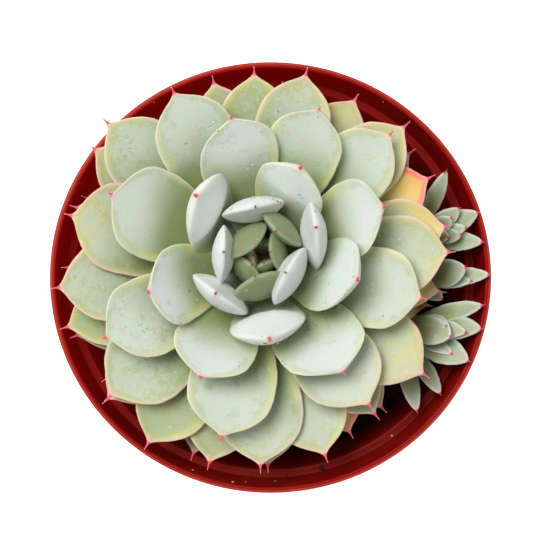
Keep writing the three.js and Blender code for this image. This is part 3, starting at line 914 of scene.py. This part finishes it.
# %% Leaf tree: the midrib and the directions at each of its points
first_leg = elbow.vector("DISTANCE", root)
second_leg = tip.vector("DISTANCE", elbow)
legs_differ = second_leg * second_leg - first_leg * first_leg
under_root = (first_leg * first_leg + legs_differ * along).math("SQRT")
t = (first_leg + second_leg) * along / (first_leg + under_root)
rest = 1 - t
middle = root.vector("SCALE", rest * rest).plus(elbow, rest * t * 2).plus(tip, t * t)
tangent = elbow.vector("SUBTRACT", root).vector("SCALE", rest).plus(tip.vector("SUBTRACT", elbow), t)
outward_run = tangent.vector("DOT_PRODUCT", facing)
upright = three(0, 0, outward_run, leaf_tree)
face_normal = upright.plus(facing, tangent.part("Z") * -1).vector("NORMALIZE")
sideways = three(facing.part("Y") * -1, facing.part("X"), 0, leaf_tree)
print("up to the midrib:", len(leaf_tree.nodes), "nodes")

# %% Leaf tree: width


def leaf_noise(along_rate, across_rate, own, scale, detail):
    """Noise between -0.5 and 0.5 over a leaf, which each leaf reads at another place."""
    place = three(along * along_rate, across * across_rate, number * own, leaf_tree)
    return noise_of(place, scale, detail) - 0.5


ripple = leaf_noise(4, 1, 3.7, 1.5, 2.0) * leaf["Ripple"] * 2 + 1
spread_width = blend(curve_of(along, SPREAD_WIDTH), curve_of(along, BLUNT_WIDTH), blunt)
upright_width = curve_of(along, UPRIGHT_WIDTH)
slender_width = curve_of(along, SLENDER_WIDTH)
width_share = blend(blend(spread_width, upright_width, plump), slender_width, slender)
fine_ripple = leaf_noise(16, 1.5, 5.3, 1.0, 3.0) * leaf["Fine ripple"] * width_share
spine_half_width = blend(leaf["Spine half width"], leaf["Spine point"], rise(along, 0.92, 1.0)) * (1 - plump)
half_width = width * width_share * ripple * 0.5 + fine_ripple + spine_half_width
print("up to the width:", len(leaf_tree.nodes), "nodes")

# %% Leaf tree: thickness and the last move
thickness = curve_of(along, THICKNESS)
crest_rise = blend(leaf["Crest root"], 1.0, (along / leaf["Crest place"]) ** 3)
crest_fall = (1 - along) / (1 - leaf["Crest place"])
crest_share = crest_rise.math("MINIMUM", crest_fall)
full_face = width * blend(leaf["Face height"], leaf["Crest height"], crest)
full_back = width * blend(leaf["Spread back"], leaf["Upright back"], plump)
lift = half_width * blend(leaf["Spread lift"], leaf["Upright lift"], plump)
across_squared = across * across
across_arch = (1 - across_squared).math("MAXIMUM", 0)
face_arch = blend(across_arch, across_arch ** 0.85, crest)
face = full_face * blend(thickness, crest_share, crest) * face_arch
spread_arch = (1 - across.math("ABSOLUTE") ** 2.2).math("MAXIMUM", 0) ** 0.9
back_arch = blend(spread_arch, across_arch ** 0.85, crest)
back_depth = full_back * thickness * back_arch
is_upper = upper.math("GREATER_THAN", 0)
edge_share = (upper * 3).math("MAXIMUM", -1).math("MINIMUM", 1)
edge_taper = 1 - rise(along, 0.95, 1.0) * 0.6
edge = leaf["Edge thickness"] * edge_share * edge_taper * 0.5
dents = leaf_noise(6, 1.6, 11.3, 1.0, 3.0) * leaf["Dents"] * (1 - across_squared) * thickness
height_off = blend(back_depth * -1, face, is_upper) + lift * across_squared + edge + dents
new_place = middle.plus(sideways, half_width * across).plus(face_normal, height_off)
tubes = stored(tubes, along=along, half_width=half_width / MM,
               to_edge=half_width * (1 - across.math("ABSOLUTE")) / MM)
moved = step(leaf_tree, "SetPosition", {"Geometry": tubes, "Position": new_place})
end_tree(leaf_tree, moved, leaf["Material"])
print("leaf tree:", len(leaf_tree.nodes), "nodes")

# %% [markdown]
# The skin of a leaf is green flesh under a pale powder. The powder is thickest on the cup of young leaves,
# rubbed off in specks and patches on old ones, and thin near the root, where the leaf is olive; the root is
# also painted darker, as painted shade where it goes under the leaves above. The small heart has almost
# none, and its flesh is painted a darker green, partly as painted shade under the cup. The margin is a thin
# clear line, cream or pink, and the spine at the tip is pink.
# Sun turns the ends of a few low leaves yellow and coral. All this follows the leaf and not the room, so the
# formulas read the place along the leaf and the distance to its edge, which the leaf tree stored.

# %% Leaf skin
# The olive of the root is partly the flesh's own colour and partly painted shade.
LEAF_OLIVE_AND_SHADE = colour(120, 132, 62)
LEAF_GREEN = colour(162, 176, 128)
# The heart's darker green is partly painted shade under the cup leaves.
HEART_GREEN_AND_SHADE = colour(128, 142, 92)
LEAF_YELLOW = colour(202, 206, 112)
POWDER = colour(213, 223, 213)
POWDER_WHITE = colour(222, 229, 225)
MARGIN_CREAM = colour(240, 238, 214)
MARGIN_PINK = colour(240, 190, 178)
SPINE_PINK = colour(238, 88, 120)
SPINE_RED = colour(214, 50, 74)
SPINE_PALE = colour(246, 214, 214)
SUN_YELLOW = colour(242, 214, 112)
SUN_CORAL = colour(250, 104, 84)
BLEMISH = colour(120, 80, 50)
KEEL_WHITE = colour(222, 232, 228)
BROAD_RATE = 60
MOTTLE_RATE = 260
BLEMISH_RATE = 420
SPECK_RATE = 1000
FINE_RATE = 1300
LEAF_BUMP = 0.08


def leaf_skin(name):
    finish, shader, place = new_finish(name, Subsurface_Weight=0.15, Subsurface_Scale=1.5 * MM,
                                       Sheen_Weight=0.1, Specular_IOR_Level=0.35)
    tree = finish.node_tree
    along, to_edge, half_width, number = carried(tree, "along to_edge half_width number")
    bloom, flush, dry, plump, slender = carried(tree, "bloom flush dry plump slender")
    own = place.vector("ADD", three(number * 0.37, number * 0.11, 0, tree))
    spread = 1 - plump

    mottle = noise_of(own, MOTTLE_RATE, 6.0, 0.7)
    broad = noise_of(own, BROAD_RATE)
    fine = noise_of(own, FINE_RATE, 3.0, 0.6)
    # Olive and darker towards the root: the flesh's own colour, and painted shade where the leaves overlap.
    root_olive_and_shade = (1 - rise(along + broad * 0.2, 0.6, 0.93)) * (1 - plump * 0.5)
    by_margin = 1 - rise(to_edge, 0.3, 4.5)
    rubbed = mottle + by_margin * spread * 0.26 + broad * 0.25 + fine * 0.3 - bloom * 0.18
    worn = rise(rubbed, 0.67, 0.86) * spread * (1.5 - bloom)
    flesh = paint(paint(LEAF_GREEN, HEART_GREEN_AND_SHADE, plump), LEAF_OLIVE_AND_SHADE, root_olive_and_shade)
    flesh = paint(flesh, LEAF_YELLOW, by_margin * rise(broad, 0.35, 0.6) * spread * 0.8)

    grainy = (mottle * 0.5 + fine * 0.5) * 0.4 + 0.8
    powder_share = (bloom * (1 - worn * 0.7) * (1 - root_olive_and_shade * 0.85) * grainy).clamp()
    powder = paint(POWDER, POWDER_WHITE, rise(bloom + root_olive_and_shade * -0.2, 0.8, 1.0))
    skin = paint(flesh, powder, powder_share)
    white_specks = rise(noise_of(own, SPECK_RATE), 0.66, 0.72) * rise(broad, 0.45, 0.6)
    skin = paint(skin, POWDER_WHITE, white_specks * 0.6)
    blemishes = rise(noise_of(own, BLEMISH_RATE), 0.745, 0.77)
    skin = paint(skin, BLEMISH, blemishes * spread * 0.5)

    sun_end = flush * rise(along, 0.45, 0.95)
    sun_edge = (1 - rise(to_edge, 0.3, 3.2)) * flush * 0.45
    skin = paint(skin, SUN_YELLOW, rise(sun_end + mottle * 0.7, 0.5, 1.05) * 0.8)
    skin = paint(skin, SUN_CORAL, rise(sun_end + sun_edge, 0.72, 1.25) * 0.95)

    pink_share = rise(along * 0.5 + flush * 1.5, 0.5, 1.05)
    margin = paint(paint(MARGIN_CREAM, MARGIN_PINK, pink_share), KEEL_WHITE, slender)
    broken = noise_of(own, MOTTLE_RATE, 3.0) * 0.9 + 0.2
    old_margin = 1 - rise(bloom, 0.6, 0.95)
    line_strength = blend(0.75, 0.2, plump) * (slender + 1)
    edge_line = (1 - rise(to_edge, 0.1, blend(0.5, 1.1, old_margin))) * line_strength
    edge_glow = (1 - rise(to_edge, 0.5, 2.6)) * spread * blend(0.15, 0.4, old_margin)
    skin = paint(skin, margin, ((edge_line + edge_glow) * broken * rise(along, 0.3, 0.55)).clamp())

    by_tip = rise(along, 0.8, 0.9)
    narrow = 1 - rise(half_width, blend(0.4, 0.15, plump), blend(1.0, 0.42, plump))
    spine_flush = (1 - rise(half_width, 0.5, 4.0)) * by_tip * spread * 0.35
    spine = paint(SPINE_PINK, SPINE_RED, plump)
    spine = paint(spine, SPINE_PALE, rise(along, 0.985, 1.0) * spread * 0.8)
    skin = paint(paint(skin, MARGIN_PINK, spine_flush), spine, narrow * by_tip)
    dried = rise(along + mottle * 0.06, 0.91, 0.97) * dry
    feed(shader, Base_Color=paint(skin, BLEMISH, dried), Roughness=powder_share * 0.25 + 0.38)
    raise_bumps(shader, noise_of(own, FINE_RATE, 4.0) * 0.5 + mottle * 0.5, LEAF_BUMP * MM)
    return finish


skin = leaf_skin("leaf_skin")
rosette = grown("main_leaves", point_mesh("main_leaf_points", main_points), leaf_tree, Material=skin)
settle(rosette, "leaf", "main_rosette")
print("main leaves:", len(rosette.data.polygons), "faces")

# %% [markdown]
# The offset rosettes grow from the side of the stem under the soil and lean out to the light. Their leaves
# follow the same rule as the main ones, so they use the same tree, with slender leaves. Each offset is one
# mesh, because each stands for one node of the CAD model.

# %% Offset rosettes
OFFSET_BASE_STEP = 0.06
OFFSET_PLUMPNESS = 0.55
OFFSET_CREST = 0.35
OFFSET_STEM_RADII = (2.6, 2.2)
OFFSETS = {
    "pup_1": (Vector((37, 9, 84)), Vector((44.5, 12, 95)), [
        (36, 6.6, 1.5, 4.6, 50, 0),
        (-18, 4.8, 0.5, 4, 50, 0),
        (-7, 8.1, 1.5, 4.4, 42, 8),
        (7, 9.6, 1.5, 4, 40, 0),
        (41, 10, 2, 5, 42, 0),
        (23, 13.7, 2.6, 6.4, 34, 0),
        (-12, 14.2, 2.6, 5.4, 34, 4),
        (76, 18.1, -1, 4.8, 26, 0),
        (120, 9, -6, 4.5, 30, 0),
        (-70, 8, -7, 4.5, 30, 0),
    ]),
    "pup_2": (Vector((34, -2, 84)), Vector((42.5, -1, 94)), [
        (16, 11.4, 3, 7.6, 48, 0),
        (22, 10.6, -0.5, 5, 34, 6),
        (-2, 13.2, 0.5, 4, 34, 0),
        (4, 17.7, 3.2, 5, 32, -8),
        (-45, 8, -5, 4.5, 30, 0),
        (75, 7, -6, 4.5, 30, 0),
    ]),
    "pup_3": (Vector((34, -22, 84)), Vector((39.5, -12, 94)), [
        (-12, 9.1, 1.5, 4, 52, 0),
        (-26, 10.8, 3, 8.8, 50, 0),
        (-14, 14.8, 2, 5, 38, 0),
        (12, 19.3, 2.6, 5, 32, -10),
        (-8, 18.6, 2.6, 7, 32, -6),
        (-42, 14.4, 0, 4.2, 34, 0),
        (-38, 18.7, 2.6, 8, 30, 6),
        (-70, 22.5, -3, 5, 20, 0),
        (-87, 26.2, -5, 5.2, 16, 12),
        (150, 7, -7, 4.5, 30, 0),
    ]),
}


def offset_points(foot, top, rows, first_number):
    for i, row in enumerate(rows):
        yield leaf_point(top.lerp(foot, OFFSET_BASE_STEP * i), 0, top, row, number=first_number + i,
                         slender=1.0, plump=OFFSET_PLUMPNESS, crest=OFFSET_CREST, blunt=0.0,
                         bloom=0.4, flush=0.1, dry=0.0)


offset_skin = leaf_skin("offset_leaf_skin")
offset_pieces = []
for order, (name, (foot, top, rows)) in enumerate(OFFSETS.items()):
    points = list(offset_points(foot, top, rows, 100 + 20 * order))
    piece = grown(name + "_leaves", point_mesh(name + "_points", points), leaf_tree, Material=offset_skin)
    settle(piece, "offset_leaf", name)
    offset_pieces.append(piece)
    print(name, len(rows), "leaves")

# %% [markdown]
# Stems are mostly hidden. Each is a tapered rod with the scars of old leaves as low rings. A bump in the
# material could draw the scars, but rings in the mesh show on the outline too.

# %% Stems
STEM_SIDES = 32
STEM_RINGS = 40
SCAR_HEIGHT = 0.25
SCAR_RATE = 3.2  # radians per millimetre


def stem(name, foot, top, radii, material):
    lowest = on_axis(foot, top, foot.z - STEM_IN_SOIL)
    axis = top - lowest
    across_axis = axis.orthogonal().normalized()
    third = axis.normalized().cross(across_axis)
    vertices = []
    for ring in range(STEM_RINGS + 1):
        share = ring / STEM_RINGS
        centre = lowest + axis * share
        radius = radii[0] + (radii[1] - radii[0]) * share
        for side in range(STEM_SIDES):
            angle = 2 * math.pi * side / STEM_SIDES
            scar = SCAR_HEIGHT * math.sin(SCAR_RATE * axis.length * share + 2 * angle)
            direction = across_axis * math.cos(angle) + third * math.sin(angle)
            vertices.append((centre + direction * (radius - SCAR_HEIGHT + scar)) * MM)
    faces = tube_faces(STEM_RINGS + 1, STEM_SIDES)
    faces.append(tuple(reversed(range(STEM_SIDES))))
    faces.append(tuple(STEM_RINGS * STEM_SIDES + i for i in range(STEM_SIDES)))
    piece = mesh_object(name, vertices, faces)
    piece.data.materials.append(material)
    return piece


STEM_GREEN = colour(120, 128, 70)
STEM_BROWN = colour(96, 74, 50)
STREAK_RATE = 400
BARK_BUMP = 0.2
bark, bark_shader, place = new_finish("stem_skin", Roughness=0.7)
streaks = noise_of(place, STREAK_RATE, 4.0, 0.6)
feed(bark_shader, Base_Color=paint(STEM_BROWN, STEM_GREEN, rise(streaks, 0.35, 0.65)))
raise_bumps(bark_shader, streaks, BARK_BUMP * MM)
settle(stem("main_stem", MAIN_STEM["foot"], MAIN_STEM["top"], MAIN_STEM["radii"], bark), "leaf")
for name, (foot, top, _) in OFFSETS.items():
    settle(stem(name + "_stem", foot, top, OFFSET_STEM_RADII, bark), "offset_leaf")
print("stems:", 1 + len(OFFSETS))

# %% [markdown]
# Water drops bead up on the waxy powder, and a few grains and crumbs stick to the pot's wall. Their places
# are given as pixels of the camera's square picture. A ray from the camera through the pixel finds the leaf
# or the wall under it, and the bead sits there along the surface's own normal, so it rests on it from any
# side. Smaller drops stand in loose patches, drawn at random from a fixed seed.

# %% Where drops and grains stand
DROPS = [  # pixel across, pixel down, diameter in millimetres
    (249.3, 197.2, 0.8), (253.1, 197.6, 0.9), (260.8, 197.4, 0.5), (264.6, 197.6, 0.5), (268.9, 198, 0.5),
    (273.3, 199, 0.8), (277.6, 200.8, 1.0), (280.7, 202.8, 0.6), (231.5, 208.6, 0.8), (315.3, 211.3, 0.7),
    (327, 237.1, 0.5), (265.2, 343.6, 1.0), (277, 342.5, 1.4), (284.5, 338.4, 0.8), (288.8, 336.6, 0.8),
    (262.1, 336, 0.5), (240.3, 319.9, 0.5), (257.7, 314.9, 0.5), (277, 310.5, 0.4), (334.2, 306.8, 1.4),
    (343.7, 293.8, 0.7), (347.3, 290.9, 0.7), (299.4, 195.5, 0.8), (301.9, 198.6, 0.7), (316.2, 276.3, 1.0),
    (320.5, 273.8, 0.6), (323.6, 273.2, 0.5), (252.9, 167.7, 1.0), (247.7, 166.6, 0.7), (250.6, 162, 0.5),
    (315.5, 323.6, 0.9), (308.7, 329.8, 0.6), (316.4, 313.5, 0.6), (325.2, 317.9, 0.7), (281.2, 361.1, 0.8),
    (225.4, 305.3, 0.6), (221, 302.4, 0.5), (217.3, 306.8, 0.5), (213.2, 121.7, 1.1), (210.3, 126.9, 0.7),
    (217.5, 130.3, 0.7), (203.1, 147, 0.7), (206, 152.8, 0.5), (126.9, 136.9, 0.7), (131.3, 141.3, 0.7),
    (128.4, 149.9, 0.8), (125.5, 157.1, 1.0), (131.3, 152.8, 0.6), (121.2, 149.9, 0.6), (169.2, 239.6, 0.7),
    (122.4, 314.7, 0.6), (139.8, 325.1, 0.7), (143.2, 330.9, 0.6), (147.9, 328.6, 0.6), (162.9, 340.1, 0.8),
    (156, 339, 0.5), (206.8, 334.3, 0.5), (210.3, 340.1, 0.5), (229.9, 385.2, 0.5), (238, 384, 0.6),
    (181.4, 323.9, 0.6), (177.9, 332, 0.6), (179.1, 285.8, 0.5), (446.6, 172.5, 1.5),
]
PATCHES = [  # pixel across, pixel down, radius in pixels, count
    (205, 130, 22, 14), (127, 148, 16, 10), (115, 322, 26, 14), (150, 330, 20, 14), (305, 160, 16, 14),
    (265, 130, 10, 8), (320, 300, 14, 10),
]
PATCH_SEED = 21
PATCH_SPREAD = 0.5  # of a patch's radius, for the bell curve that its drops follow
SMALLEST_DROP = 0.3  # of those in patches, in millimetres
LARGEST_DROP = 0.5
WALL_GRAINS = [(154, 102, 0.8), (383, 102, 0.6), (392, 436, 0.8), (312, 453, 0.6), (193, 470, 0.6),
               (233, 482, 0.8), (246, 482, 0.7), (275, 481, 0.8)]
WALL_CRUMBS = [(426, 172, 1.6), (322, 468, 1.8), (252, 476, 0.7), (287, 474, 0.7), (296, 479, 0.6)]

chance = random.Random(PATCH_SEED)
small_drops = [(chance.gauss(x, radius * PATCH_SPREAD), chance.gauss(y, radius * PATCH_SPREAD),
                chance.uniform(SMALLEST_DROP, LARGEST_DROP))
               for x, y, radius, count in PATCHES for _ in range(count)]
print(len(DROPS), "drops of their own,", len(small_drops), "in patches")

# %% From a pixel to a spot on a surface


def outside_of(piece):
    """A piece's surface, made ready for rays."""
    return BVHTree.FromPolygons([vertex.co for vertex in piece.data.vertices],
                                [tuple(face.vertices) for face in piece.data.polygons])


def seen_at(x, y, surfaces):
    """Where a ray from the camera through a pixel first hits: the place, the surface's normal, and more."""
    ray = camera.rotation_quaternion @ Vector((x - PICTURE_SIDE / 2, PICTURE_SIDE / 2 - y, -FOCAL_LENGTH))
    hits = [surface.ray_cast(camera.location, ray.normalized()) for surface in surfaces]
    return min((hit for hit in hits if hit[0] is not None), key=lambda hit: hit[3], default=None)


def spots_seen(name, places, surfaces, sunk):
    """A mesh of points on the surfaces that the camera sees at pixels, each with a size and a direction."""
    points = []
    for x, y, diameter in places:
        hit = seen_at(x, y, surfaces)
        if hit:
            radius = diameter / 2 * MM
            points.append({"root": hit[0] - hit[1] * radius * sunk, "up": hit[1], "radius": radius})
    print(name, len(points), "of", len(places))
    return point_mesh(name, points)


leaf_surfaces = [outside_of(piece) for piece in (rosette, *offset_pieces)]
wall_surfaces = [outside_of(pot), outside_of(soil)]
print(len(leaf_surfaces) + len(wall_surfaces), "surfaces ready for rays")

# %% [markdown]
# A bead is a ball made flatter, turned so that its flat side lies on the surface. One tree serves drops and
# grains alike: it leaves drops smooth and dents the grains.

# %% A tree that sets beads on a surface
bead_tree, bead = geometry_tree("beads", Flatness=0.8, Dents=0.0, Dent_rate=1500.0, Material=None)
ball = step(bead_tree, "MeshIcoSphere", {"Radius": 1.0, "Subdivisions": 3})
(up,) = named(bead_tree, "up", "FLOAT_VECTOR")
(radius,) = named(bead_tree, "radius")
upward = add_node(bead_tree, "FunctionNodeAlignEulerToVector", {"Vector": up}, axis="Z")
beads = step(bead_tree, "InstanceOnPoints", {
    "Points": bead["Geometry"],
    "Instance": stored(ball, over_foot=step(bead_tree, "InputPosition").part("Z")),
    "Rotation": upward.outputs[0],
    "Scale": three(radius, radius, radius * bead["Flatness"], bead_tree),
})
end_tree(bead_tree, dented(bead_tree, beads, bead["Dent rate"], bead["Dents"]), bead["Material"])
print("bead tree:", len(bead_tree.nodes), "nodes")

# %% [markdown]
# Water is the clear glass of the Principled shader, with a second sharp shine on top. A real drop has a thin
# dark edge where it bends the light away. So small a ball shows it poorly, so the foot of each drop is
# tinted, which looks the same from any side. Drops cast no shadow, because a render without caustics would
# draw it black.

# %% Drops, and grains on the wall
DROP_SUNK = 0.05  # of the radius
GRAIN_SUNK = 0.3
GRAIN_DENTS = 0.6
CRUMB_DENTS = 1.0
WATER_CLEAR = colour(255, 255, 255)
WATER_FOOT = colour(56, 70, 52)
WAVE_RATE = 800
WAVE_BUMP = 0.02
water, water_shader, place = new_finish("water", Roughness=0.02, IOR=1.36, Transmission_Weight=1.0,
                                        Specular_IOR_Level=1.0, Coat_Weight=1.0, Coat_Roughness=0.02)
(over_foot,) = carried(water.node_tree, "over_foot")
feed(water_shader, Base_Color=paint(WATER_FOOT, WATER_CLEAR, rise(over_foot, 0.3, 0.95)))
raise_bumps(water_shader, noise_of(place, WAVE_RATE), WAVE_BUMP * MM)
drop_spots = spots_seen("drop_points", DROPS + small_drops, leaf_surfaces, DROP_SUNK)
drops = grown("water_drops", drop_spots, bead_tree, Material=water)
drops.visible_shadow = False
settle(drops, "water")
for name, places, dents, finish, slot in (("wall_grains", WALL_GRAINS, GRAIN_DENTS, pumice, "grain"),
                                          ("wall_crumbs", WALL_CRUMBS, CRUMB_DENTS, peat, "soil")):
    spots = spots_seen(name + "_points", places, wall_surfaces, GRAIN_SUNK)
    settle(grown(name, spots, bead_tree, Dents=dents * MM, Material=finish), slot)
print("drops:", len(drops.data.polygons), "faces")
